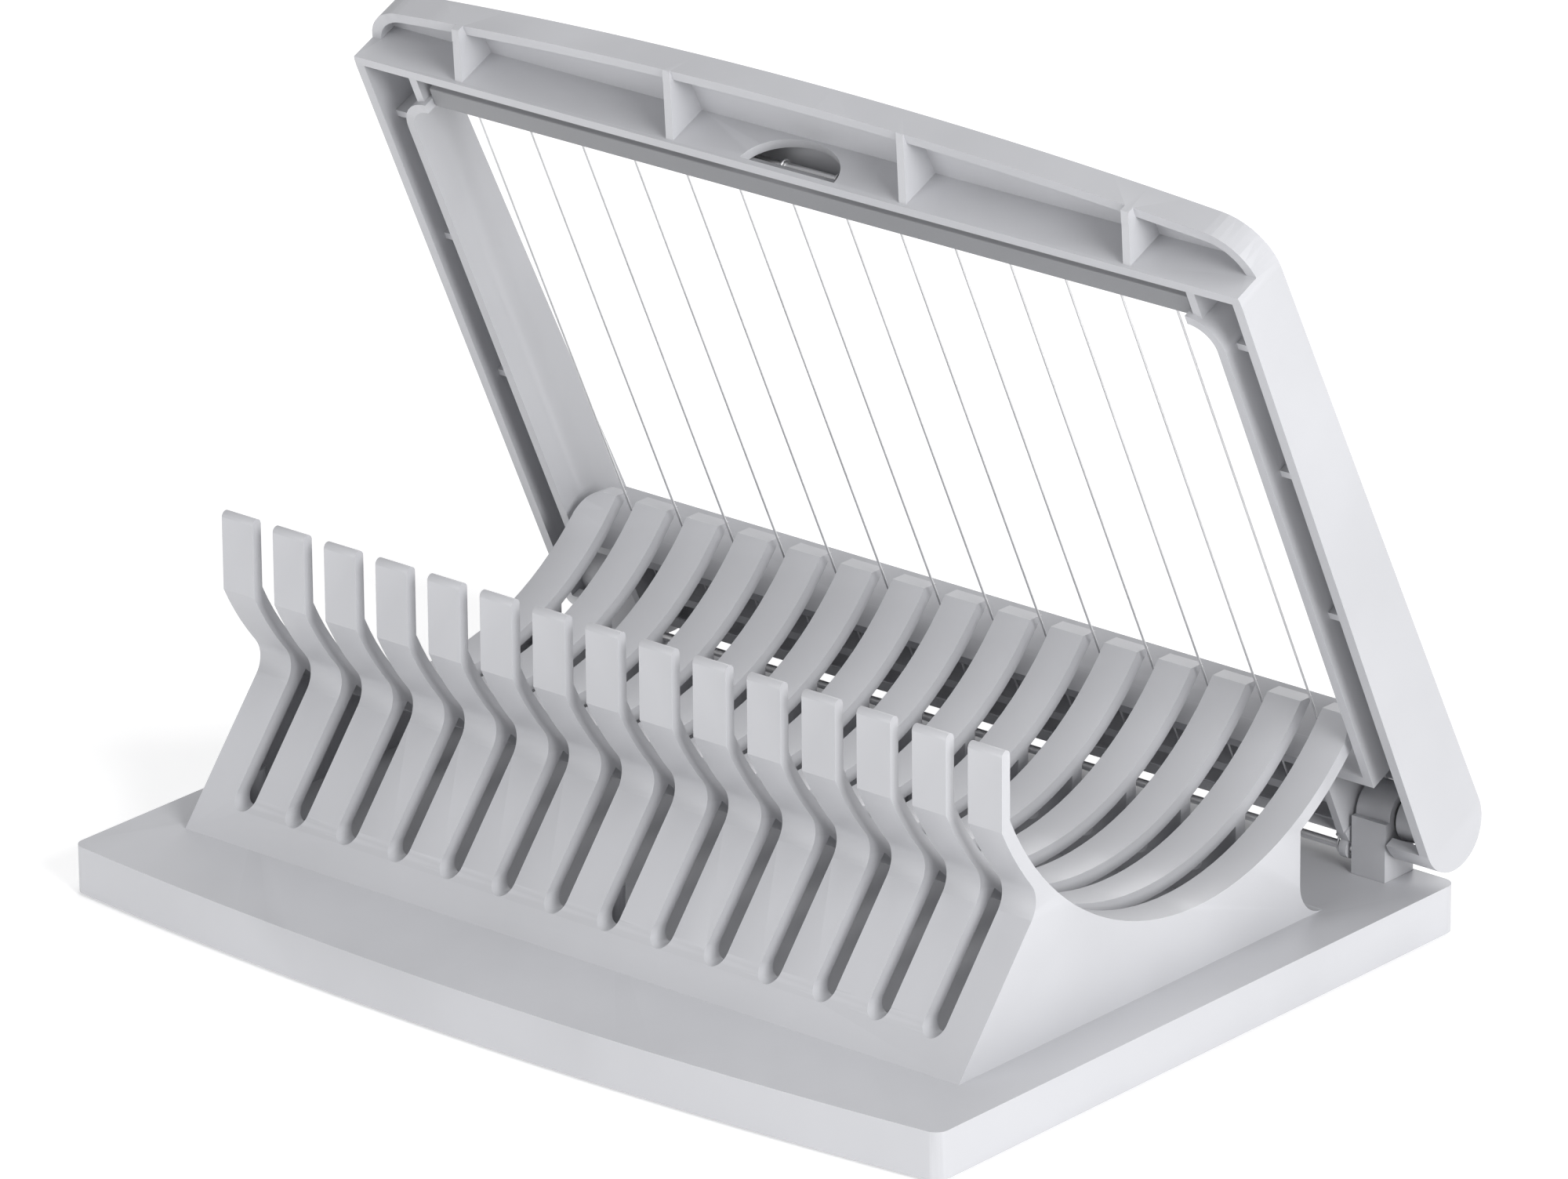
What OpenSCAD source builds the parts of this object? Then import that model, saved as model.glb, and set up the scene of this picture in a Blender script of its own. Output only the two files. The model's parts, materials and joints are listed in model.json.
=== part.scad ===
// Long wire slicer: slotted cradle on a base plate, with a hinged lid strung with steel wires.
// X runs along the hinge, -Y is the user's side, Z is up. Zero is the middle of the footprint.

/* [Base plate] */
// Width of the base plate beyond each end of the cradle
side_margin = 10.35; // [10:0.05:30]
// Depth of the base plate at its side edges
base_d = 139; // [128:1:180]
// Height of the base plate's rim
base_t = 8.7; // [7.5:0.1:12]
// How far the front edge bows out in the middle
base_bow = 5.6; // [2:0.1:9]
// Wall of the base plate moulding
base_wall = 2.4; // [1.8:0.1:3]
// Corner radius of the base plate
base_corner_r = 2.5; // [1:0.5:6]
// Height that the rubber feet stand proud of the rim
foot_proud = 0.6; // [0.3:0.1:1.5]
// Diameter of a rubber foot
foot_d = 12; // [9:0.5:16]

/* [Slicing] */
// Number of cutting wires
wire_count = 14; // [6:1:16]
// Distance from one wire to the next, the thickness of a slice
pitch = 12; // [9:0.5:15]
// Diameter of a cutting wire
wire_d = 0.45; // [0.35:0.05:0.8]
// Width of a slot in the cradle
slot_w = 4.7; // [3:0.1:6]

/* [Cradle] */
// Inner radius of the trough
trough_r = 55; // [44:0.5:58]
// Distance from the hinge axis forward to the trough's centre line
trough_reach = 56.4; // [55:0.1:60]
// Height of the trough's centre line above the deck
trough_rise = 66.8; // [62:0.1:72]
// Wall of the trough
trough_wall = 2.6; // [2:0.1:3.2]
// Distance from the trough's centre line forward to the cradle's front foot
foot_reach = 63; // [61:0.1:64]
// Slope of the front wall from the deck
front_slope = 50.8; // [46:0.2:56]
// Wall of the sloping front
front_wall = 3; // [2.4:0.1:3.6]
// How far the finger tips' front face stands inside the trough's outermost line
tip_tuck = 5.9; // [5:0.1:8]
// Thickness of a finger tip
tip_wall = 2.1; // [1.6:0.1:2.6]
// Height of the finger tips above the deck
tip_rise = 55.8; // [50:0.1:56]
// Height of the rear arms above the deck
rear_rise = 32.6; // [28:0.1:34]
// Distance from the trough's centre line back to the rear wall's back face
rear_reach = 28; // [25:0.1:30]
// Height of the slot bottoms above the deck
slot_rise = 4.6; // [4:0.1:5]

/* [Hinge] */
// Height of the hinge axis above the deck
hinge_rise = 10.8; // [10.4:0.1:12]
// Radius of the lid's rounded hinge end
knuckle_r = 7.8; // [7:0.1:8.2]
// Radius of a hinge pin
pin_r = 1.75; // [1.4:0.05:2.2]
// Angle by which the lid stands open
open_angle = 65.5; // [40:0.5:85]

/* [Lid] */
// Overhang of the lid past each side of the base plate
lid_overhang = 0.8; // [0:0.1:2]
// Gap between the lid's front edge and the base plate's front edge, seen from above
lid_setback = 2.1; // [1:0.1:4]
// Wall and skin of the lid moulding
lid_wall = 2; // [1.5:0.1:2.5]
// Taper of the lid's top towards the front, in degrees
lid_taper = 2; // [1:0.1:3]
// Radius of the lid's front corners
lid_corner_r = 10; // [6:0.5:14]
// Width of a side channel of the lid, between its two walls
channel_w = 5.2; // [4.5:0.1:7]
// Distance from the hinge axis to the window's hinge edge
window_back = 16; // [14:0.5:18]
// Distance from the cradle's front foot back to the window's front edge
window_tuck = 0.8; // [0.2:0.1:1.2]
// Depth of the front box that holds the wire ends, from the window to the rail
box_d = 7.7; // [7.4:0.1:9]
// Radius of the window's front corners
window_r = 5; // [3:0.5:5.5]
// Height of the wires above the lid's rim
wire_rise = 5; // [4:0.1:6]
// Height of the front wing's rim above the lid's rim
wing_rise = 5.4; // [3:0.1:7]
// Radius of the two wire rods
rod_r = 0.75; // [0.6:0.05:1]

/* [Hidden] */
wires = [1:wire_count];

function wire_name(i) = str("wire_", i < 10 ? "0" : "", i);

$fn = 64;
eps = 0.01;
// Overshoot of a cut past the face it opens, and reach of a piece into the one it joins
over = 1;
far = 600;

// Clearances
fit_gap = 0.05;
seat_gap = 0.1;
swing_gap = 0.6;
running_gap = 0.06;

// Base
deck = foot_proud + base_t;
rib_w = pitch - slot_w;
cradle_w = wire_count * pitch + rib_w;
base_w = cradle_w + 2 * side_margin;
half_w = base_w / 2;
half_d = base_d / 2;
rib_t = 1.6;
rib_rise = 1.4;
rib_columns = [-0.6, -0.2, 0.2, 0.6];
rib_rows = [-0.42, 0.14];
foot_inset = 13;
rear_foot_inset = 22;
foot_t = 2.6;
foot_boss_wall = 2;

// Cradle
hinge_y = half_d + base_bow - knuckle_r;
trough_y = hinge_y - trough_reach;
foot_front = foot_reach - trough_y;
rear_back = trough_y + rear_reach;
end_wall = 2.6;
trough_z = deck + trough_rise;
outer_r = trough_r + trough_wall;
tip_front = outer_r - tip_tuck - trough_y;
neck_r = 5;
foot_flare = 6.4;

rear_corner_r = 4.5;
edge_break = 0.06;
tip_z = deck + tip_rise;
rear_top = deck + rear_rise;
boss_r = 3;
boss_rise = 9;
boss_inset = 12;
boss_front = foot_front - boss_inset;
boss_rear = rear_back - trough_wall - boss_r + over;

// Screws
screw_r = 1.4;
screw_head_r = 2.7;
screw_head_h = 2;
screw_bite = 7;
bite_gap = 0.5;
screw_slot_w = 0.6;
screw_slot_reach = 0.6 * screw_head_r;
screw_slot_depth = 1;

// Hinge
hinge_z = deck + hinge_rise;
lid_half = half_w + lid_overhang;
window_half = lid_half - 2 * lid_wall - channel_w;
washer_t = 0.6;
washer_r = 4;
bracket_out = window_half - washer_t - 3 * seat_gap;
bracket_w = 7.3;
washer_in = bracket_out + 1.5 * seat_gap;
bracket_in = bracket_out - bracket_w;
bracket_front = 6.2;
bracket_edge = 0.4;
bracket_head_r = 5;
bracket_seat = 0.8;
bracket_x = bracket_in + bracket_w / 2;
bracket_y = hinge_y - 2;
pin_in = bracket_in + 0.5;
pin_out = lid_half - lid_wall - 1.2;
pin_boss_r = 4.4;

// Lid, in its closed position with the hinge axis at zero: s is the distance towards the front
window_front = trough_reach + foot_reach - window_tuck;
lid_front = hinge_y + half_d - lid_setback;
lid_nose = lid_front + base_bow;
ring_wall = lid_wall - 0.2;
rail_back = window_front + box_d;
rail_front = rail_back + ring_wall;
cover_rise = 2;
cover_t = 1.6;
cover_end = window_half - window_r;
cover_gap = 0.15;
wire_h = wire_rise - knuckle_r;
hole_r = 0.45;
bend_r = wire_d / 2 + 0.03;
eye_bore = rod_r + fit_gap;
eye_r = eye_bore + wire_d + 0.1;
eye_w = 1.4;
eye_mid = (eye_bore + eye_r) / 2;
eye_reach = 0.2;
front_rod_s = window_front + 4.6;
front_rod_h = wire_h + eye_mid;
support_t = 1.6;
post_t = 1.8;
post_rise = 1;
post_gap = 1.2;
corner_recess = 3.6;
front_rod_x = cover_end + post_gap + post_t - 0.2;
wire_wall_s = 2.4;
wire_wall_t = 2;
wire_wall_drop = 1.6;
bend_s = wire_wall_s - 0.4;
rear_wall_drop = 1;
rear_rod_s = -4.3;
rear_rod_h = 0.7 - knuckle_r;
lug_r = 1.9;
lug_h = 3;
cheek_in = (wire_count - 1) / 2 * pitch + 0.8;
cheek_t = 1.6;
rear_rod_x = cheek_in + cheek_t + 0.5;
notch_in = bracket_in - swing_gap;
channel_rib_t = 1.4;
channel_rib_rise = 3;
channel_ribs = [for (part = [0.438, 0.712, 0.953]) part * window_front];
gusset_t = 1.6;
gussets = [for (part = [-0.754, -0.263, 0.263, 0.754]) part * lid_half];
// Supports stand midway between two wires
supports = [for (i = [2, floor(wire_count / 2) - 2, ceil(wire_count / 2) + 2, wire_count - 2])
    (i - wire_count / 2) * pitch];
groove_w = 0.6;
groove_s = window_front + 2.6;
groove_depth = 0.5;
grip_w = 21;
grip_h = 7.6;
grip_rim = 1.1;

body_colour = [0.80, 0.81, 0.83];
inner_colour = [0.70, 0.71, 0.73];
steel_colour = [0.86, 0.87, 0.88];
rubber_colour = [0.25, 0.26, 0.27];

// Plan outline with a bowed front and round corners: half width, back and front edges, bow,
// front and back corner radii, and how far the whole outline is drawn in
function arc_points(cx, cy, r, from, to, n) =
    [for (k = [0:n]) let (a = from + (to - from) * k / n) [cx + r * sin(a), cy - r * cos(a)]];

function bowed_outline(hw, back, front, bow, rf, rb, draw_in) =
    let (big = (hw * hw + bow * bow) / (2 * bow),
         big_y = big - front - bow,
         cx = hw - rf,
         cy = big_y - sqrt(pow(big - rf, 2) - pow(cx, 2)),
         turn = asin(cx / (big - rf)),
         small_f = max(rf - draw_in, eps),
         small_b = max(rb - draw_in, eps),
         back_in = back - draw_in - small_b,
         side_in = hw - draw_in - small_b,
         right = concat(arc_points(cx, cy, small_f, turn, 90, 10),
                        arc_points(side_in, back_in, small_b, 90, 180, 6)))
    concat(arc_points(0, big_y, big - draw_in, -turn, turn, 24),
           right,
           [for (k = [len(right) - 1:-1:0]) [-right[k][0], right[k][1]]]);

// Extrudes a (y, z) profile along X, centred
module along_x(length) {
    translate([-length / 2, 0, 0])
        rotate([90, 0, 90])
            linear_extrude(length)
                children();
}

// A rod along X from x0 to x1
module x_rod(x0, x1, r) {
    translate([x0, 0, 0])
        rotate([0, 90, 0])
            cylinder(h = x1 - x0, r = r);
}

module mirror_pair() {
    children();
    mirror([1, 0, 0]) children();
}

// ---- Base plate ----

module base_outline(draw_in) {
    polygon(bowed_outline(half_w, half_d, half_d, base_bow, base_corner_r, base_corner_r, draw_in));
}

function foot_places() =
    [for (sx = [-1, 1], y = [foot_inset - half_d, half_d - rear_foot_inset])
        [sx * (half_w - foot_inset), y]];

function cradle_screw_places() =
    [for (sx = [-1, 0, 1], y = [-boss_front, boss_rear])
        [sx * (cradle_w / 2 - end_wall - boss_r / 2), y]];

function bracket_screw_places() = [[-bracket_x, bracket_y], [bracket_x, bracket_y]];

module base_ribs() {
    for (x = rib_columns)
        translate([x * half_w - rib_t / 2, -half_d, foot_proud + rib_rise])
            cube([rib_t, base_d - base_wall, base_t - rib_rise - base_wall + eps]);
    for (y = rib_rows)
        translate([-half_w + eps, y * base_d - rib_t / 2, foot_proud + rib_rise])
            cube([base_w - 2 * eps, rib_t, base_t - rib_rise - base_wall + eps]);
}

module base_plate() color(body_colour)
difference() {
    union() {
        difference() {
            translate([0, 0, foot_proud])
                linear_extrude(base_t)
                    base_outline(0);
            translate([0, 0, foot_proud - over])
                linear_extrude(base_t - base_wall + over)
                    base_outline(base_wall);
        }
        intersection() {
            base_ribs();
            translate([0, 0, foot_proud])
                linear_extrude(base_t)
                    base_outline(base_wall / 2);
        }
        for (p = foot_places())
            translate([p[0], p[1], foot_proud])
                cylinder(h = base_t - eps, r = foot_d / 2 + foot_boss_wall);
    }
    for (p = foot_places())
        translate([p[0], p[1], -over])
            cylinder(h = foot_t + over + fit_gap, r = foot_d / 2 + fit_gap);
    for (p = concat(cradle_screw_places(), bracket_screw_places())) {
        translate([p[0], p[1], 0])
            cylinder(h = deck + over, r = screw_r + seat_gap);
        translate([p[0], p[1], 0])
            cylinder(h = deck - base_wall, r = screw_head_r + 2 * seat_gap);
    }
    mirror_pair()
        translate([bracket_in - seat_gap, hinge_y - bracket_front - seat_gap, deck - bracket_seat])
            cube([bracket_w + 2 * seat_gap,
                  half_d - bracket_edge - hinge_y + bracket_front + 2 * seat_gap, far]);
}

module foot(p) color(rubber_colour)
translate([p[0], p[1], 0])
cylinder(h = foot_t, r = foot_d / 2);

module screw(p, seat_z) {
    translate([p[0], p[1], seat_z - screw_head_h])
        difference() {
            union() {
                cylinder(h = screw_head_h, r = screw_head_r);
                cylinder(h = screw_head_h + base_wall + screw_bite, r = screw_r);
            }
            for (a = [0, 90])
                rotate([0, 0, a])
                    translate([-screw_slot_reach, -screw_slot_w / 2, -over])
                        cube([2 * screw_slot_reach, screw_slot_w, over + screw_slot_depth]);
        }
}

module cradle_screws() color(steel_colour)
for (p = cradle_screw_places())
    screw(p, deck - base_wall);

module bracket_screws() color(steel_colour)
for (p = bracket_screw_places())
    screw(p, deck - base_wall);

// ---- Cradle ----

// Unit vectors along and square to the front wall's face
slope_dir = [cos(front_slope), sin(front_slope)];
slope_out = [-sin(front_slope), cos(front_slope)];
front_foot = [-foot_front, deck];
trough_c = [trough_y, trough_z];

// Centre of the neck's rounding: neck_r off the front face, and neck_r off the trough's back
neck_from = front_foot + neck_r * slope_out - trough_c;
neck_b = neck_from * slope_dir;
neck_t = -neck_b - sqrt(neck_b * neck_b - neck_from * neck_from + pow(outer_r + neck_r, 2));
neck_c = trough_c + neck_from + neck_t * slope_dir;
neck_face = neck_c - neck_r * slope_out;
neck_back = trough_c + (neck_c - trough_c) * outer_r / (outer_r + neck_r);

tip_inner_z = trough_z - sqrt(pow(trough_r, 2) - pow(trough_y + tip_front - tip_wall, 2));
rear_join_z = trough_z - sqrt(pow(outer_r, 2) - pow(rear_back - trough_y, 2));

// Points inside the trough's wall where the neck and the front wall's back face end
neck_root = trough_c + (neck_c - trough_c) * (trough_r + over) / (outer_r + neck_r);
front_heel = front_foot + [front_wall / sin(front_slope), 0];
root_from = front_heel - trough_c;
root_b = root_from * slope_dir;
root_t = -root_b - sqrt(root_b * root_b - root_from * root_from + pow(trough_r + over, 2));
front_root = front_heel + root_t * slope_dir;

// Sloping front wall with the rounded neck under the fingers, in (y, z)
module front_wall_profile() {
    difference() {
        polygon([front_foot, neck_face, neck_c, neck_root, front_root, front_heel]);
        translate(neck_c)
            circle(r = neck_r);
    }
}

// The trough's wall from y0 to y1, up to a height
module trough_profile(y0, y1, top) {
    difference() {
        intersection() {
            translate(trough_c)
                circle(r = outer_r);
            translate([y0, deck])
                square([y1 - y0, top - deck]);
        }
        translate(trough_c)
            circle(r = trough_r);
    }
}

// Upright finger tip with a rounded end
module tip_profile() {
    translate([-tip_front, tip_inner_z - over])
        square([tip_wall, tip_z - tip_wall / 2 - tip_inner_z + over]);
    translate([-tip_front + tip_wall / 2, tip_z - tip_wall / 2])
        circle(r = tip_wall / 2);
}

// A concave flare where the wall's face at y meets the deck, on its rear (1) or front (-1) side
module flare_profile(y, r, depth, side) {
    difference() {
        translate([min(y - side * depth, y + side * r), deck])
            square([r + depth, r]);
        translate([y + side * r, deck + r])
            circle(r = r);
    }
}

// Everything that has one section all along the cradle
module cradle_run(length) {
    along_x(length) front_wall_profile();
    along_x(length) trough_profile(-tip_front, trough_y, tip_inner_z);
    along_x(length) trough_profile(trough_y - over, trough_y + outer_r, rear_top);
    along_x(length) tip_profile();
    along_x(length)
        translate([rear_back - trough_wall, deck])
            square([trough_wall, rear_join_z - deck + over]);
    along_x(length) flare_profile(rear_back, foot_flare, trough_wall / 2, 1);
}

// Profile of an end wall under the trough, in (y, z)
module end_profile() {
    difference() {
        polygon([front_foot + [over, 0], front_root, [rear_back - over, rear_join_z],
                 [rear_back - over, deck]]);
        translate(trough_c)
            circle(r = trough_r + over);
    }
}

module slot_cut() {
    translate([-slot_w / 2, -far / 2, deck + slot_rise + slot_w / 2])
        cube([slot_w, far, far]);
    translate([0, far / 2, deck + slot_rise + slot_w / 2])
        rotate([90, 0, 0])
            cylinder(h = far, r = slot_w / 2);
}

// Rounds the outer top corner of an end rib's rear arm
module rear_corner_cut() {
    centre = edge_break - rear_corner_r;
    translate([cradle_w / 2 + centre, trough_y, rear_top + centre])
        difference() {
            cube([rear_corner_r + over, far, rear_corner_r + over]);
            translate([0, -over, 0])
                rotate([-90, 0, 0])
                    cylinder(h = far + 2 * over, r = rear_corner_r);
        }
}

module cradle() color(body_colour)
difference() {
    union() {
        difference() {
            cradle_run(cradle_w);
            for (i = wires)
                translate([wire_x(i), 0, 0])
                    slot_cut();
        }
        mirror_pair()
            translate([cradle_w / 2 - end_wall / 2, 0, 0])
                along_x(end_wall) end_profile();
        for (p = cradle_screw_places())
            translate([p[0], p[1], deck])
                cylinder(h = boss_rise, r = boss_r);
    }
    mirror_pair() rear_corner_cut();
    for (p = cradle_screw_places())
        translate([p[0], p[1], deck - over])
            cylinder(h = over + screw_bite + bite_gap, r = screw_r + seat_gap / 2);
}

// ---- Hinge ----

module bracket_profile() {
    difference() {
        union() {
            translate([hinge_y - bracket_front, deck - bracket_seat])
                square([half_d - bracket_edge - hinge_y + bracket_front,
                        hinge_rise + bracket_seat]);
            translate([hinge_y, hinge_z])
                circle(r = bracket_head_r);
        }
        translate([hinge_y, hinge_z])
            circle(r = pin_r + fit_gap / 2);
    }
}

module hinge_bracket(side) color(body_colour)
difference() {
    translate([side * bracket_x, 0, 0])
        along_x(bracket_w) bracket_profile();
    translate([side * bracket_x, bracket_y, deck - bracket_seat - over])
        cylinder(h = over + bracket_seat + screw_bite + bite_gap, r = screw_r + seat_gap / 2);
}

module hinge_pin(side) color(steel_colour)
translate([0, hinge_y, hinge_z])
mirror([side > 0 ? 0 : 1, 0, 0])
x_rod(pin_in, pin_out, pin_r);

module hinge_washer(side) color(rubber_colour)
translate([0, hinge_y, hinge_z])
mirror([side > 0 ? 0 : 1, 0, 0])
difference() {
    x_rod(washer_in, washer_in + washer_t, washer_r);
    x_rod(bracket_out - over, window_half + over, pin_r + seat_gap);
}

// ---- Lid: everything below is drawn closed, with the hinge axis at zero, and then swung open ----

module swung_open() {
    translate([0, hinge_y, hinge_z])
        rotate([-open_angle, 0, 0])
            children();
}

function wire_x(i) = (i - (wire_count + 1) / 2) * pitch;
function lid_top(s, skin) = (knuckle_r - skin) / cos(lid_taper) - s * tan(lid_taper);

// Side profile of the lid in (y, z), with the skin and the rounded end drawn in
module lid_side(skin) {
    r = knuckle_r - skin;
    low = skin > 0 ? -knuckle_r - over : -knuckle_r;
    circle(r = r);
    polygon([[0, low], [-lid_nose - over, low],
             [-lid_nose - over, lid_top(lid_nose + over, skin)],
             [-r * sin(lid_taper), r * cos(lid_taper)], [0, r]]);
}

module lid_plan(draw_in) {
    polygon(bowed_outline(lid_half, knuckle_r, lid_front, base_bow,
                          lid_corner_r, eps, draw_in));
}

// Solid block between the lid's outline and its side profile
module lid_block(skin) {
    intersection() {
        along_x(base_w * 1.5) lid_side(skin);
        translate([0, 0, -knuckle_r - over])
            linear_extrude(3 * knuckle_r)
                lid_plan(skin);
    }
}

// Plan of the window: square at the hinge, with round corners in front
module window_plan(grow) {
    hw = window_half + grow;
    r = window_r + grow;
    union() {
        translate([-hw, -window_front - grow + r])
            square([2 * hw, window_front - window_back + 2 * grow - r]);
        translate([-hw + r, -window_front - grow])
            square([2 * (hw - r), r + eps]);
        for (side = [-1, 1])
            translate([side * (hw - r), -window_front - grow + r])
                circle(r = r);
    }
}

module upright(h0, h1) {
    translate([0, 0, h0])
        linear_extrude(h1 - h0)
            children();
}

// The walls that stand in the lid's cavity
module lid_walls() {
    top = 2 * knuckle_r;
    upright(-knuckle_r, top) window_plan(ring_wall);
    upright(-knuckle_r, top)
        translate([-lid_half, -rail_front])
            square([2 * lid_half, rail_front - rail_back]);
    for (s = channel_ribs)
        upright(-knuckle_r + channel_rib_rise, top)
            mirror_pair()
                translate([window_half, -s - channel_rib_t / 2])
                    square([channel_w + 2 * lid_wall, channel_rib_t]);
    for (x = gussets)
        translate([x, 0, 0])
            along_x(gusset_t)
                polygon([[-rail_back, -knuckle_r], [-lid_nose, -knuckle_r + wing_rise],
                         [-lid_nose, top], [-rail_back, top]]);
    mirror_pair()
        x_rod(window_half, lid_half - eps, pin_boss_r);
    translate([0, -wire_wall_s - wire_wall_t / 2, 0])
        upright(wire_h - wire_wall_drop, top)
            square([2 * cheek_in + eps, wire_wall_t], center = true);
    mirror_pair()
        translate([cheek_in + cheek_t / 2, 0, 0])
            along_x(cheek_t)
                cheek_profile(top);
    for (x = supports)
        upright(wire_h - wire_d, top)
            translate([x - support_t / 2, -rail_back])
                square([support_t, rail_back - window_front]);
    mirror_pair()
        upright(-knuckle_r + post_rise, top)
            translate([cover_end + post_gap, -rail_back])
                square([post_t, rail_back - window_front + window_r / 2]);
}

// A cheek fills the cavity and stays inside the lid's round end, apart from its rod lug
module cheek_profile(top) {
    difference() {
        union() {
            circle(r = knuckle_r);
            translate([-window_back, -knuckle_r])
                square([window_back, knuckle_r + top]);
            translate([-rear_rod_s, rear_rod_h])
                circle(r = lug_r);
            translate([-rear_rod_s - lug_r, rear_rod_h])
                square([2 * lug_r, lug_h]);
        }
        translate([-rear_rod_s, rear_rod_h])
            circle(r = rod_r + fit_gap);
    }
}

// Opens the lower rear quarter of the round end, where the wires run down to their rod
module rear_opening() {
    translate([-cheek_in, eps, -2 * knuckle_r])
        cube([2 * cheek_in, 2 * knuckle_r, 2 * knuckle_r - rear_wall_drop]);
}

// Clears the space that each bracket stands in
module bracket_notch() {
    mirror_pair() {
        translate([notch_in, -over, -2 * knuckle_r])
            cube([window_half - notch_in, 2 * knuckle_r + over, 4 * knuckle_r]);
        translate([notch_in, -window_back + ring_wall, -2 * knuckle_r])
            cube([window_half - notch_in, window_back, 3 * knuckle_r - lid_wall]);
    }
}

// Arched grip hole through the rail
module grip_hole() {
    translate([0, -rail_back + over, -knuckle_r + grip_rim])
        rotate([90, 0, 0])
            linear_extrude(rail_front - rail_back + 2 * over)
                intersection() {
                    scale([grip_w / 2, grip_h])
                        circle(r = 1, $fn = 96);
                    translate([-grip_w, 0])
                        square([2 * grip_w, 2 * grip_h]);
                }
}

// Hole for a wire, forward of s less the wall it passes
module wire_hole(i, s, wall) {
    translate([wire_x(i), -s - over, wire_h])
        rotate([-90, 0, 0])
            cylinder(h = wall + 2 * over, r = hole_r);
}

module lid_shell() color(body_colour)
swung_open()
difference() {
    intersection() {
        union() {
            difference() {
                lid_block(0);
                lid_block(lid_wall);
            }
            intersection() {
                lid_walls();
                union() {
                    lid_block(lid_wall / 2);
                    mirror_pair()
                        translate([cheek_in, -over, -far / 2])
                            cube([cheek_t, 2 * knuckle_r, far / 2]);
                }
            }
        }
        translate([-far / 2, -far, -1.5 * knuckle_r])
            cube([far, 2 * far, 3 * knuckle_r]);
    }
    // the window, the cover's seat and the raised rim of the front wing
    upright(-2 * knuckle_r, 2 * knuckle_r) window_plan(0);
    translate([-cover_end - cover_gap, -rail_back, -2 * knuckle_r])
        cube([2 * (cover_end + cover_gap), rail_back - window_front + window_r,
              knuckle_r + cover_rise + cover_t + cover_gap]);
    difference() {
        upright(-2 * knuckle_r, -knuckle_r + corner_recess)
            difference() {
                mirror_pair()
                    translate([cover_end, -rail_back])
                        square([window_half + ring_wall + eps - cover_end,
                                rail_back - window_front + window_r]);
                window_plan(ring_wall);
            }
        mirror_pair()
            upright(-knuckle_r + post_rise, knuckle_r)
                translate([cover_end + post_gap, -rail_back - over])
                    square([post_t, rail_back - window_front + window_r / 2 + over]);
    }
    difference() {
        translate([-far / 2, -far, -2 * knuckle_r])
            cube([far, far - rail_front, knuckle_r + wing_rise]);
        for (x = gussets)
            translate([x, 0, 0])
                along_x(gusset_t)
                    polygon([[-rail_front + over, -knuckle_r], [-lid_nose, -knuckle_r + wing_rise],
                             [-lid_nose, 0], [-rail_front + over, 0]]);
    }
    for (i = wires)
        wire_hole(i, wire_wall_s + wire_wall_t, wire_wall_t);
    for (i = wires)
        wire_hole(i, window_front + ring_wall, ring_wall);
    for (i = wires)
        wire_hole(i, window_back, ring_wall);
    translate([0, -front_rod_s, front_rod_h])
        x_rod(-front_rod_x - fit_gap, front_rod_x + fit_gap, rod_r + fit_gap);
    translate([0, -rear_rod_s, rear_rod_h])
        x_rod(-rear_rod_x - fit_gap, rear_rod_x + fit_gap, rod_r + fit_gap);
    mirror_pair()
        x_rod(window_half - over, pin_out + seat_gap, pin_r + running_gap);
    grip_hole();
    rear_opening();
    bracket_notch();
}

// Strip that closes the front box over the wire ends
module wire_cover() color(inner_colour)
swung_open()
difference() {
    translate([-cover_end, -rail_back + cover_gap, -knuckle_r + cover_rise])
        cube([2 * cover_end, rail_back - window_front - 2 * cover_gap, cover_t]);
    translate([-cover_end - over, -groove_s, -knuckle_r + cover_rise - over])
        cube([2 * (cover_end + over), groove_w, over + groove_depth]);
}

module front_wire_rod() color(steel_colour)
swung_open()
translate([0, -front_rod_s, front_rod_h])
x_rod(-front_rod_x, front_rod_x, rod_r);

module rear_wire_rod() color(steel_colour)
swung_open()
translate([0, -rear_rod_s, rear_rod_h])
x_rod(-rear_rod_x, rear_rod_x, rod_r);

// The crimped eye that holds a wire's end on a rod
module wire_eye(s, h) {
    translate([0, -s, h])
        difference() {
            x_rod(-eye_w / 2, eye_w / 2, eye_r);
            x_rod(-eye_w, eye_w, eye_bore);
        }
}

// A straight length of wire between two points (s, h)
module wire_run(a, b) {
    run = b - a;
    translate([0, -a[0], a[1]])
        rotate([90 - atan2(run[1], run[0]), 0, 0])
            cylinder(h = norm(run), r = wire_d / 2, $fn = 24);
}

// The wire leaves the front rod's eye, runs straight, bends down and ends in the rear rod's eye
front_end = [front_rod_s - eye_reach, wire_h];
rear_c = [rear_rod_s, rear_rod_h];
bend_p = [bend_s, wire_h];
bend_to = rear_c - bend_p;
bend_swing = asin(eye_mid / norm(bend_to));
bend_turn = atan2(bend_to[1], bend_to[0]) + bend_swing;
bend_len = norm(bend_to) * cos(bend_swing) - eye_reach;
rear_end = bend_p + bend_len * [cos(bend_turn), sin(bend_turn)];

module wire(i) color(steel_colour)
swung_open()
translate([wire_x(i), 0, 0])
union() {
    wire_eye(front_rod_s, front_rod_h);
    wire_run(bend_p, front_end);
    translate([0, -bend_p[0], bend_p[1]])
        sphere(r = bend_r, $fn = 24);
    wire_run(bend_p, rear_end);
    wire_eye(rear_rod_s, rear_rod_h);
}

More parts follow.
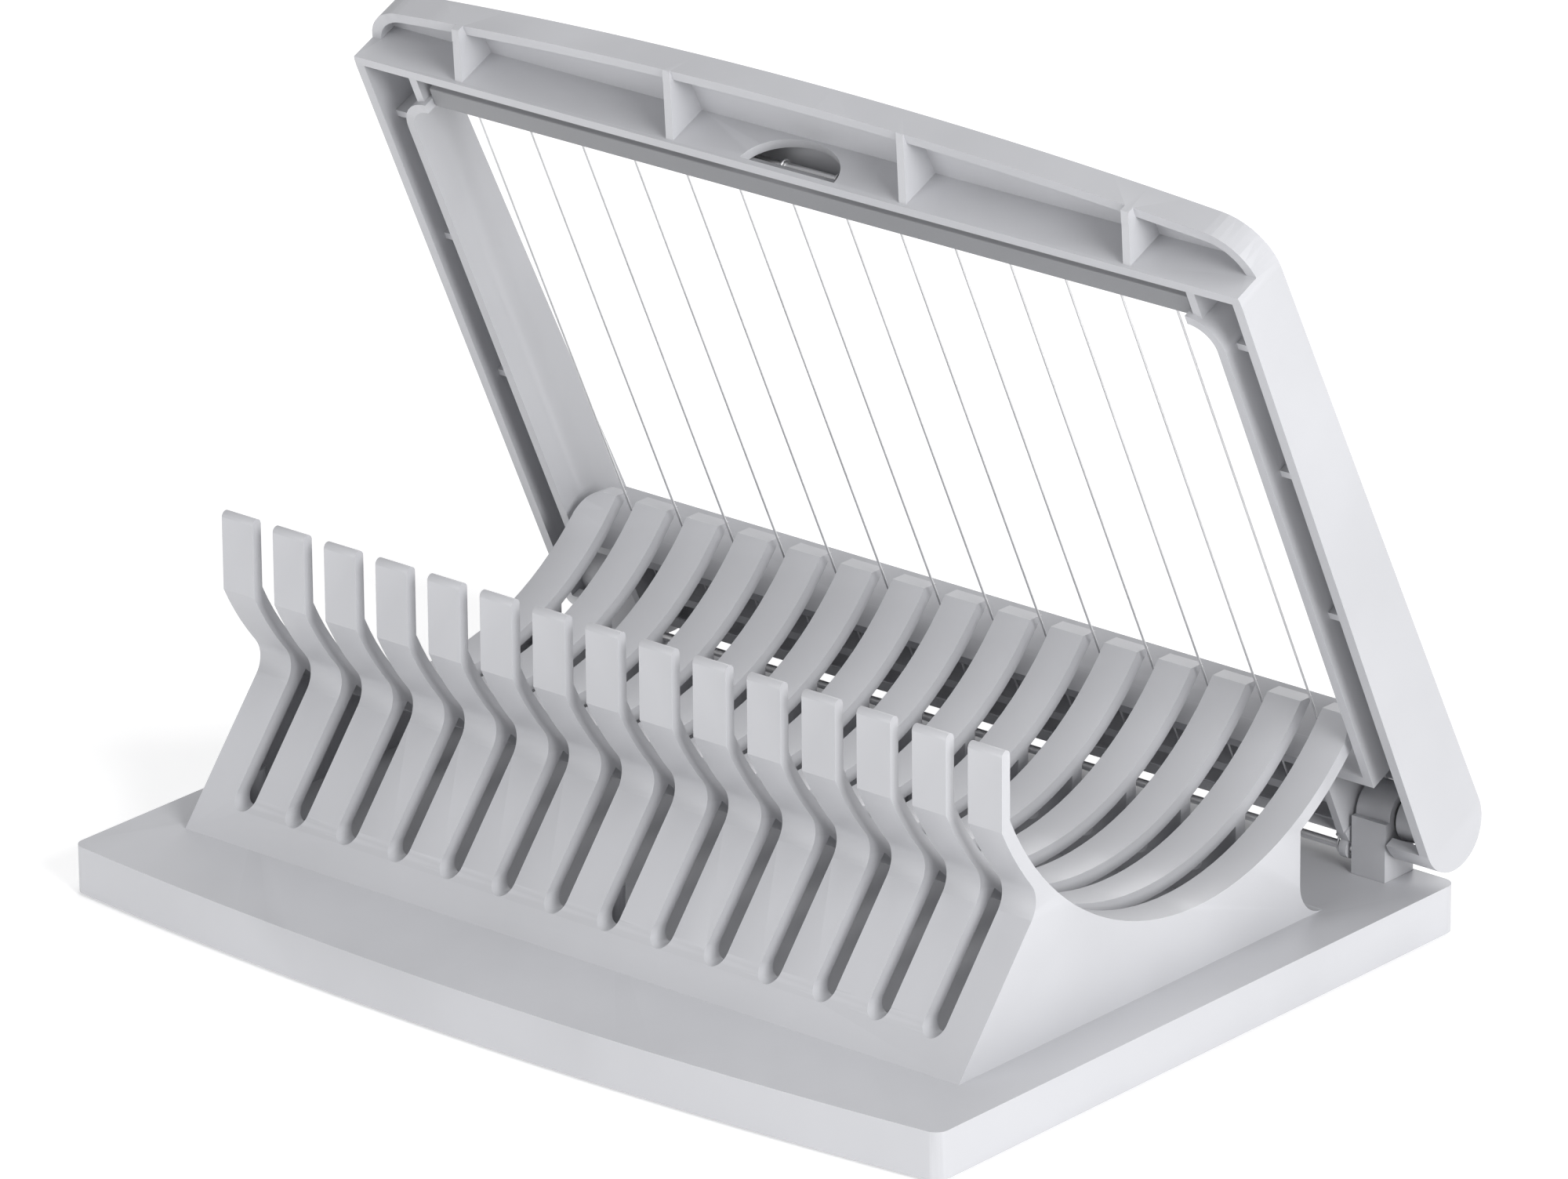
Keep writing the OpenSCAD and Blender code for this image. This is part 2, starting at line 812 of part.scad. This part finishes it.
base_plate();
cradle();
cradle_screws();
bracket_screws();
hinge_bracket(-1);  // hinge_bracket_left
hinge_bracket(1);  // hinge_bracket_right
hinge_pin(-1);  // hinge_pin_left
hinge_pin(1);  // hinge_pin_right
hinge_washer(-1);  // hinge_washer_left
hinge_washer(1);  // hinge_washer_right
foot(foot_places()[0]);  // foot_front_left
foot(foot_places()[1]);  // foot_rear_left
foot(foot_places()[2]);  // foot_front_right
foot(foot_places()[3]);  // foot_rear_right
lid_shell();
wire_cover();
front_wire_rod();
rear_wire_rod();
for (i = wires)
    wire(i);
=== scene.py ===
import json
import math
import bmesh
import bpy
from mathutils import Matrix, Vector

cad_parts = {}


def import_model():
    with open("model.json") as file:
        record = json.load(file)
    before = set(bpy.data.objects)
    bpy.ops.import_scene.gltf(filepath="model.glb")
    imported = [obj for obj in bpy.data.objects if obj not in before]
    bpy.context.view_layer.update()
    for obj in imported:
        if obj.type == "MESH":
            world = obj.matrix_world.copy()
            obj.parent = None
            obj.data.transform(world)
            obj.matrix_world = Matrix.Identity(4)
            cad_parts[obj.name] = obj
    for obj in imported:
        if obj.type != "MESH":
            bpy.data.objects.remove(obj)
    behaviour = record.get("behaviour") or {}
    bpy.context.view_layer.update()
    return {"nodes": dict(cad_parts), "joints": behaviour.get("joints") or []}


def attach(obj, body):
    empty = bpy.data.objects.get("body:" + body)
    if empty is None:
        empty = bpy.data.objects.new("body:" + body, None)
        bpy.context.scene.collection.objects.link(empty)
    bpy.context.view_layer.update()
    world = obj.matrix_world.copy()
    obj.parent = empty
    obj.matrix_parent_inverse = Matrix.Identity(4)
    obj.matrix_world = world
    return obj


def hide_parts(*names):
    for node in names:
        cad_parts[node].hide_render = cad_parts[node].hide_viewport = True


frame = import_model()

hinge = Vector(frame["joints"][0]["pos_m"])
mm = 0.001


# wraps one output socket so that maths reads as maths
class Link:
    def __init__(self, mat, socket):
        self.mat = mat
        self.socket = socket

    def maths(self, operation, *others, clamp=False):
        settings = {"operation": operation, "use_clamp": clamp}
        return self.mat.node("ShaderNodeMath", settings, [self, *others])

    def __add__(self, other): return self.maths("ADD", other)
    def __radd__(self, other): return self.mat.plain("ADD", other, self)
    def __sub__(self, other): return self.maths("SUBTRACT", other)
    def __rsub__(self, other): return self.mat.plain("SUBTRACT", other, self)
    def __mul__(self, other): return self.maths("MULTIPLY", other)
    def __rmul__(self, other): return self.mat.plain("MULTIPLY", other, self)
    def __truediv__(self, other): return self.maths("DIVIDE", other)
    def __rtruediv__(self, other): return self.mat.plain("DIVIDE", other, self)
    def __pow__(self, other): return self.maths("POWER", other)
    def __neg__(self): return self.maths("MULTIPLY", -1.0)


class Finish:
    def __init__(self, name):
        self.material = bpy.data.materials.new(name)
        self.material.use_nodes = True
        self.tree = self.material.node_tree
        self.tree.nodes.clear()
        self.shader = self.tree.nodes.new("ShaderNodeBsdfPrincipled")
        out = self.tree.nodes.new("ShaderNodeOutputMaterial")
        self.tree.links.new(self.shader.outputs[0], out.inputs["Surface"])

    def put(self, socket, value):
        if isinstance(value, Link):
            self.tree.links.new(value.socket, socket)
        elif value is not None:
            socket.default_value = value

    # one way to add any node: its type, its settings, then the values or links of its inputs
    def node(self, kind, settings=None, inputs=(), output=0):
        made = self.tree.nodes.new(kind)
        for key, value in (settings or {}).items():
            if key == "stops":
                ramp = made.color_ramp
                while len(ramp.elements) > len(value):
                    ramp.elements.remove(ramp.elements[-1])
                while len(ramp.elements) < len(value):
                    ramp.elements.new(1.0)
                for element, (place, shade) in zip(ramp.elements, value):
                    element.position = place
                    element.color = (shade, shade, shade, 1.0)
            else:
                setattr(made, key, value)
        pairs = inputs.items() if isinstance(inputs, dict) else enumerate(inputs)
        for key, value in pairs:
            self.put(made.inputs[key], value)
        return Link(self, made.outputs[output])

    def plain(self, operation, first, second):
        return self.node("ShaderNodeMath", {"operation": operation}, [first, second])

    def place(self, stretch=(1, 1, 1)):
        at = self.node("ShaderNodeTexCoord", output="Object")
        return self.node("ShaderNodeMapping", {}, {"Vector": at, "Scale": stretch})

    def noise(self, scale, detail=3.0, rough=0.5, stretch=(1, 1, 1)):
        return self.node("ShaderNodeTexNoise", {}, {"Vector": self.place(stretch), "Scale": scale,
                         "Detail": detail, "Roughness": rough})

    def ramp(self, value, *stops):
        return self.node("ShaderNodeValToRGB", {"stops": stops}, [value])

    def blend(self, amount, first, second):
        made = self.tree.nodes.new("ShaderNodeMix")
        made.data_type = "RGBA"
        self.put(made.inputs[0], amount)
        for socket, shade in ((made.inputs[6], first), (made.inputs[7], second)):
            self.put(socket, shade if isinstance(shade, Link) else (*shade, 1.0))
        return Link(self, made.outputs[2])

    # where the surface turns sharply outwards, from 0 to 1
    def edges(self, low=0.52, high=0.62):
        bend = self.node("ShaderNodeNewGeometry", output="Pointiness")
        return self.ramp(bend, (low, 0.0), (high, 1.0))

    def bump(self, height, strength, distance, under=None):
        return self.node("ShaderNodeBump", {}, {"Strength": strength, "Distance": distance,
                         "Height": height, "Normal": under})

    def surface(self, **values):
        for key, value in values.items():
            socket = self.shader.inputs[key.replace("_", " ")]
            if isinstance(value, tuple) and len(value) == 3:
                value = (*value, 1.0)
            self.put(socket, value)
        return self.material


# noise scales of the moulded finish, and how far each one moves the roughness
moulding = {"cloud": 22, "flow": 60, "speck": 2600, "scratch": 240}
roughShare = {"flow": 0.12, "speck": 0.10, "scratch": 0.05, "edges": 0.05}


def mouldedPlastic(name, shade, roughness, grain=1.0):
    f = Finish(name)
    cloud = f.noise(moulding["cloud"], 3)  # slow drift in the moulding's colour
    flow = f.noise(moulding["flow"], 4, 0.6, (0.35, 1, 2.2))  # faint flow marks
    speck = f.noise(moulding["speck"], 2)
    tint = tuple(min(1, c * 1.045) for c in shade)
    deep = tuple(c * 0.955 for c in shade)
    colour = f.blend(f.ramp(cloud, (0.35, 0.0), (0.65, 1.0)), deep, tint)
    colour = f.blend(f.edges() * 0.35, colour, tuple(min(1, c * 1.16 + 0.02) for c in shade))
    scratch = f.ramp(f.noise(moulding["scratch"], 2, 0.5, (0.05, 1, 1)), (0.70, 0.0), (0.74, 1.0))
    rough = roughness + (flow - 0.5) * roughShare["flow"]
    rough = rough + (speck - 0.5) * roughShare["speck"] * grain
    rough = rough + scratch * roughShare["scratch"] - f.edges() * roughShare["edges"]
    fine = f.bump(speck, 0.10 * grain, 0.00006)
    worn = f.bump(flow + scratch * 0.4, 0.06, 0.00025, fine)
    return f.surface(Base_Color=colour, Roughness=rough, Normal=worn, IOR=1.5)


def drawnSteel(name, shade, roughness, along=(0.02, 1, 1)):
    f = Finish(name)
    line = f.noise(1800, 3, 0.6, along)
    patch = f.noise(90, 3)
    colour = f.blend(f.ramp(patch, (0.3, 0.0), (0.7, 1.0)), tuple(c * 0.9 for c in shade), shade)
    rough = roughness + (line - 0.5) * 0.16 + (patch - 0.5) * 0.08
    return f.surface(Base_Color=colour, Metallic=1.0, Roughness=rough,
                     Normal=f.bump(line, 0.12, 0.00003))


def softRubber(name, shade):
    f = Finish(name)
    grain = f.noise(1400, 4)
    bloom = f.noise(70, 3)
    pale = tuple(c * 1.5 + 0.01 for c in shade)
    colour = f.blend(f.ramp(bloom, (0.35, 0.0), (0.7, 1.0)), shade, pale)
    return f.surface(Base_Color=colour, Roughness=0.78 + (grain - 0.5) * 0.2,
                     Normal=f.bump(grain, 0.25, 0.00008))


finishes = {
    "shell": mouldedPlastic("paleGreyPlastic", (0.49, 0.494, 0.515), 0.42),
    # the cover's darker colour (0.26 against the shell's 0.49) is painted shade for the strip's
    # recess under the rail rim, not a different plastic
    "cover": mouldedPlastic("coverPaintedShadePlastic", (0.26, 0.263, 0.275), 0.5, 1.6),
    "wire": drawnSteel("wireSteel", (0.93, 0.93, 0.935), 0.42),
    "pin": drawnSteel("pinSteel", (0.62, 0.62, 0.63), 0.30, (0.05, 1, 1)),
    "rubber": softRubber("footRubber", (0.035, 0.036, 0.038)),
}
print("finishes made")


# the lid's own directions: x along the hinge, s towards the lid's front, h up from the hinge axis

lidTurn = {"openAngle": 65.5}
swing = Matrix.Translation(hinge) @ Matrix.Rotation(math.radians(-lidTurn["openAngle"]), 4, "X")


def lidPoint(x, s, h):
    return swing @ Vector((x * mm, -s * mm, h * mm))


def newMesh(name, bm, finish, body, smooth=35):
    mesh = bpy.data.meshes.new(name)
    bm.to_mesh(mesh)
    bm.free()
    obj = bpy.data.objects.new(name, mesh)
    bpy.context.scene.collection.objects.link(obj)
    mesh.materials.append(finishes[finish])
    for face in mesh.polygons:
        face.use_smooth = True
    mesh.set_sharp_from_angle(angle=math.radians(smooth))
    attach(obj, body)
    return obj


# sweeps a round section along points, with closed ends
def tube(bm, points, radius, sides=12):
    rings = []
    last = None
    for i, p in enumerate(points):
        ahead = points[min(i + 1, len(points) - 1)] - points[max(i - 1, 0)]
        ahead.normalize()
        if last is None:
            across = ahead.orthogonal().normalized()
        else:
            across = (last - ahead * last.dot(ahead)).normalized()
        last = across
        other = ahead.cross(across)
        ring = [bm.verts.new(p + (across * math.cos(a) + other * math.sin(a)) * radius)
                for a in (2 * math.pi * k / sides for k in range(sides))]
        rings.append(ring)
    for one, two in zip(rings, rings[1:]):
        for k in range(sides):
            bm.faces.new((one[k], one[(k + 1) % sides], two[(k + 1) % sides], two[k]))
    bm.faces.new(list(reversed(rings[0])))
    bm.faces.new(rings[-1])


# CAD pieces that keep their shape get softened edges and a finish

shellNodes = {
    "base_plate": 0.45,
    "cradle": 0.5,
    "hinge_bracket_left": 0.3,
    "hinge_bracket_right": 0.3,
    "lid_shell": 0.3,
}
otherNodes = {
    "front_wire_rod": ("wire", 0.15),
    "rear_wire_rod": ("wire", 0.15),
    "cradle_screws": ("pin", 0.12),
    "bracket_screws": ("pin", 0.12),
}


easing = {"segments": 3, "angle": math.radians(32), "weld": 0.000002}


def softened(node, finish, width):
    obj = frame["nodes"][node]
    for slot in obj.material_slots:
        slot.material = finishes[finish]
    weld = obj.modifiers.new("weld", "WELD")
    weld.merge_threshold = easing["weld"]
    bevel = obj.modifiers.new("roundedEdges", "BEVEL")
    bevel.width = width * mm
    bevel.segments = easing["segments"]
    bevel.limit_method = "ANGLE"
    bevel.angle_limit = easing["angle"]
    bevel.use_clamp_overlap = True
    bevel.harden_normals = False
    bevel.miter_outer = "MITER_ARC"
    return obj


for node, width in shellNodes.items():
    softened(node, "shell", width)
for node, (finish, width) in otherNodes.items():
    softened(node, finish, width)
print("CAD pieces finished")


# wires: each one hooks round the two rods and its tail is wound back on itself
wireSet = {
    "count": 14,
    "pitch": 12,
    "radius": 0.225,
    "height": -2.8,
    "frontRod": (123.2, -1.725),
    "rearRod": (-4.3, -7.1),
    "bend": (2.0, -2.8),
    "bendRadius": 0.7,
    "loop": 1.075,
    "loopSteps": 12,
    "sideways": 0.12,
    "wound": 0.46,
    "turns": 2.5,
    "turnSteps": 14,
    "turnGap": 0.5,
    "tail": 1.4,
    "stations": (110, 80, 50, 20, 6),
    "bendSteps": 6,
    "sides": 10,
}


# path of one hooked end, from where the wire meets the rod to the tip of its tail
def hookedEnd(centre, ahead):
    towards = Vector((-ahead.y, ahead.x))
    if towards.dot(Vector(centre) - Vector(wireSet["bend"])) < 0:
        towards = -towards
    loop, wound = wireSet["loop"], wireSet["wound"]
    meet = Vector(centre) - towards * loop
    path = []
    for k in range(wireSet["loopSteps"] + 1):
        part = k / wireSet["loopSteps"]
        a = math.pi * part
        p = Vector(centre) + loop * (ahead * math.sin(a) - towards * math.cos(a))
        path.append((wireSet["sideways"] * part, p))
    for k in range(int(wireSet["turns"] * wireSet["turnSteps"]) + 1):
        part = k / wireSet["turnSteps"]
        a = 2 * math.pi * part
        back = wireSet["tail"] + wireSet["turnGap"] * part
        p = meet - ahead * back + towards * wound * math.cos(a)
        path.append((wound * math.sin(a), p))
    return path


def wirePath():
    front, rear, bend = (Vector(wireSet[k]) for k in ("frontRod", "rearRod", "bend"))
    forward = Vector((1, 0))
    toRear = rear - bend
    tilt = math.asin(wireSet["loop"] / toRear.length)
    down = toRear.normalized()
    down = Vector((down.x * math.cos(tilt) - down.y * math.sin(tilt),
                   down.x * math.sin(tilt) + down.y * math.cos(tilt)))
    path = list(reversed(hookedEnd(front, forward)))
    path += [(0, Vector((s, wireSet["height"]))) for s in wireSet["stations"]]
    reach = wireSet["bendRadius"]
    for k in range(wireSet["bendSteps"] + 1):
        t = k / wireSet["bendSteps"]
        p = bend + forward * reach * (1 - t) ** 2 + down * reach * t ** 2
        path.append((0, p))
    return path + hookedEnd(rear, down)


def wires():
    path = wirePath()
    for i in range(wireSet["count"]):
        x0 = (i - (wireSet["count"] - 1) / 2) * wireSet["pitch"]
        bm = bmesh.new()
        points = [lidPoint(x0 + x, p.x, p.y) for x, p in path]
        tube(bm, points, wireSet["radius"] * mm, wireSet["sides"])
        piece = newMesh("cuttingWire_%02d" % (i + 1), bm, "wire", "lid", 60)
        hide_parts("wire_%02d" % (i + 1))


wires()
print("wires made")


# strip over the wire ends: a raised lower band and a recessed upper one
coverStrip = {
    "half": 84.6,
    "rim": -7.8,
    "section": [(126.15, 2.9), (123.0, 2.9), (122.7, 2.0), (118.75, 2.0),
                (118.75, 3.6), (126.15, 3.6)],
    "rounding": 0.18,
}


def rounded(piece, width):
    bevel = piece.modifiers.new("roundedEdges", "BEVEL")
    bevel.width = width * mm
    bevel.segments = easing["segments"]
    bevel.limit_method = "ANGLE"
    bevel.angle_limit = easing["angle"]


def cover():
    bm = bmesh.new()
    ends = []
    for x in (-coverStrip["half"], coverStrip["half"]):
        ends.append([bm.verts.new(lidPoint(x, s, coverStrip["rim"] + w))
                     for s, w in coverStrip["section"]])
    count = len(coverStrip["section"])
    for k in range(count):
        n = (k + 1) % count
        bm.faces.new((ends[0][k], ends[0][n], ends[1][n], ends[1][k]))
    bm.faces.new(ends[0])
    bm.faces.new(list(reversed(ends[1])))
    bmesh.ops.recalc_face_normals(bm, faces=bm.faces)
    # the strip gets the cover finish, whose dark colour is painted shade
    piece = newMesh("wireEndCover", bm, "cover", "lid")
    rounded(piece, coverStrip["rounding"])
    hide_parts("wire_cover")


cover()
print("cover made")


# turned pieces: a profile of (radius, height) spun about an axis
def turned(bm, profile, origin, axis, sides=48):
    up = Vector(axis)
    across = up.orthogonal().normalized()
    other = up.cross(across)
    rings = []
    for r, h in profile:
        if r == 0:
            rings.append([bm.verts.new(origin + up * h * mm)])
        else:
            rings.append([bm.verts.new(origin + up * h * mm
                                       + (across * math.cos(a) + other * math.sin(a)) * r * mm)
                          for a in (2 * math.pi * k / sides for k in range(sides))])
    for one, two in zip(rings, rings[1:]):
        for k in range(sides):
            n = (k + 1) % sides
            corners = [one[k % len(one)], one[n % len(one)],
                       two[n % len(two)], two[k % len(two)]]
            bm.faces.new(list(dict.fromkeys(corners)))


# rubber feet: rounded rim, shallow dished face with a raised ring
rubberFeet = {
    "nodes": {"foot_front_left": (-85, -56.5), "foot_front_right": (85, -56.5),
              "foot_rear_left": (-85, 47.5), "foot_rear_right": (85, 47.5)},
    "profile": [(0, 0.35), (2.6, 0.35), (2.9, 0.12), (3.2, 0.0), (5.2, 0.0), (5.65, 0.1),
                (5.9, 0.32), (6.0, 0.65), (6.0, 2.6), (0, 2.6)],
}


def feet():
    for node, (x, y) in rubberFeet["nodes"].items():
        bm = bmesh.new()
        turned(bm, rubberFeet["profile"], Vector((x * mm, y * mm, 0)), (0, 0, 1))
        bmesh.ops.recalc_face_normals(bm, faces=bm.faces)
        piece = newMesh("rubber_" + node, bm, "rubber", "stand", 40)
        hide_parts(node)


feet()
print("feet made")


# hinge pins: chamfered ends and a fine turned groove near the outer end
hingePins = {
    "nodes": {"hinge_pin_left": -1, "hinge_pin_right": 1},
    "inner": 81.9,
    "outer": 95.6,
    "radius": 1.75,
    "chamfer": 0.3,
    "groove": {"from": 1.6, "to": 1.1, "slant": 0.1, "deep": 0.12},
}


def pins():
    reach = hingePins["outer"] - hingePins["inner"]
    r, c = hingePins["radius"], hingePins["chamfer"]
    groove = hingePins["groove"]
    start, end = reach - groove["from"], reach - groove["to"]
    low = r - groove["deep"]
    profile = [(0, 0), (r - c, 0), (r, c), (r, start), (low, start + groove["slant"]),
               (low, end - groove["slant"]), (r, end), (r, reach - c), (r - c, reach),
               (0, reach)]
    for node, side in hingePins["nodes"].items():
        bm = bmesh.new()
        origin = hinge + Vector((side * hingePins["inner"] * mm, 0, 0))
        turned(bm, profile, origin, (side, 0, 0), 40)
        bmesh.ops.recalc_face_normals(bm, faces=bm.faces)
        piece = newMesh("turned_" + node, bm, "pin", "stand", 30)
        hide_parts(node)


pins()
print("pins made")


# washers: thin discs with eased rims
washers = {
    "nodes": {"hinge_washer_left": -1, "hinge_washer_right": 1},
    "inner": 88.85,
    "thickness": 0.6,
    "bore": 1.85,
    "radius": 4.0,
    "ease": 0.12,
}


def washerDiscs():
    t, e, b, r = (washers[k] for k in ("thickness", "ease", "bore", "radius"))
    profile = [(b, 0), (r - e, 0), (r, e), (r, t - e), (r - e, t), (b, t), (b, 0)]
    for node, side in washers["nodes"].items():
        bm = bmesh.new()
        turned(bm, profile, hinge + Vector((side * washers["inner"] * mm, 0, 0)), (side, 0, 0), 40)
        bmesh.ops.remove_doubles(bm, verts=bm.verts, dist=0.000001)
        bmesh.ops.recalc_face_normals(bm, faces=bm.faces)
        piece = newMesh("disc_" + node, bm, "rubber", "stand", 30)
        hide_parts(node)


washerDiscs()
print("washers made")




def stage():
    bm = bmesh.new()
    bmesh.ops.create_grid(bm, x_segments=2, y_segments=2, size=3.0)
    mesh = bpy.data.meshes.new("floor")
    bm.to_mesh(mesh)
    bm.free()
    floor = bpy.data.objects.new("floor", mesh)
    bpy.context.scene.collection.objects.link(floor)
    f = Finish("paleFloor")
    mesh.materials.append(f.surface(Base_Color=(0.92, 0.92, 0.92), Roughness=0.9,
                                    Emission_Color=(1.0, 1.0, 1.0), Emission_Strength=0.28))


lights = {
    "key": {"at": (1.6, -0.45, 0.75), "size": 0.9, "power": 25},
    "front": {"at": (-0.3, -1.7, 0.5), "size": 1.2, "power": 8},
    "top": {"at": (0.1, 0.2, 1.9), "size": 1.2, "power": 6.5},
    "back": {"at": (-0.6, 1.5, 1.0), "size": 1.0, "power": 8},
}


def aimed(obj, at, towards):
    obj.location = at
    obj.rotation_euler = (Vector(towards) - Vector(at)).to_track_quat("-Z", "Y").to_euler()


def light(name, at, size, power):
    lamp = bpy.data.lights.new(name, "AREA")
    lamp.shape = "DISK"
    lamp.size = size
    lamp.energy = power
    obj = bpy.data.objects.new(name, lamp)
    bpy.context.scene.collection.objects.link(obj)
    aimed(obj, at, (0, 0, 0.05))


def world(level):
    made = bpy.data.worlds.new("studio")
    bpy.context.scene.world = made
    made.use_nodes = True
    back = made.node_tree.nodes["Background"]
    back.inputs[0].default_value = (0.99, 0.99, 1.0, 1.0)
    back.inputs[1].default_value = level


view = {"azimuth": 40.72, "elevation": 21.23, "roll": -0.48, "across": 3.79, "up": 55.91,
        "distance": 2060, "lens": 273.2}


def camera(azimuth, elevation, roll, across, up, distance, lens):
    a, e, r = map(math.radians, (azimuth, elevation, roll))
    right = Vector((math.cos(a), math.sin(a), 0))
    ahead = Vector((-math.sin(a) * math.cos(e), math.cos(a) * math.cos(e), -math.sin(e)))
    above = right.cross(ahead)
    across1 = right * math.cos(r) + above * math.sin(r)
    above1 = above * math.cos(r) - right * math.sin(r)
    data = bpy.data.cameras.new("camera")
    data.lens = lens
    data.sensor_width = 36
    data.clip_end = 20
    obj = bpy.data.objects.new("camera", data)
    place = (across1 * across + above1 * up - ahead * distance) * mm
    turn = Matrix((across1, above1, -ahead)).transposed().to_4x4()
    obj.matrix_world = Matrix.Translation(place) @ turn
    bpy.context.scene.collection.objects.link(obj)
    bpy.context.scene.camera = obj


stage()
for name, settings in lights.items():
    light(name, **settings)
world(0.38)
camera(**view)
bpy.context.scene.view_settings.view_transform = "Standard"
print("stage ready")
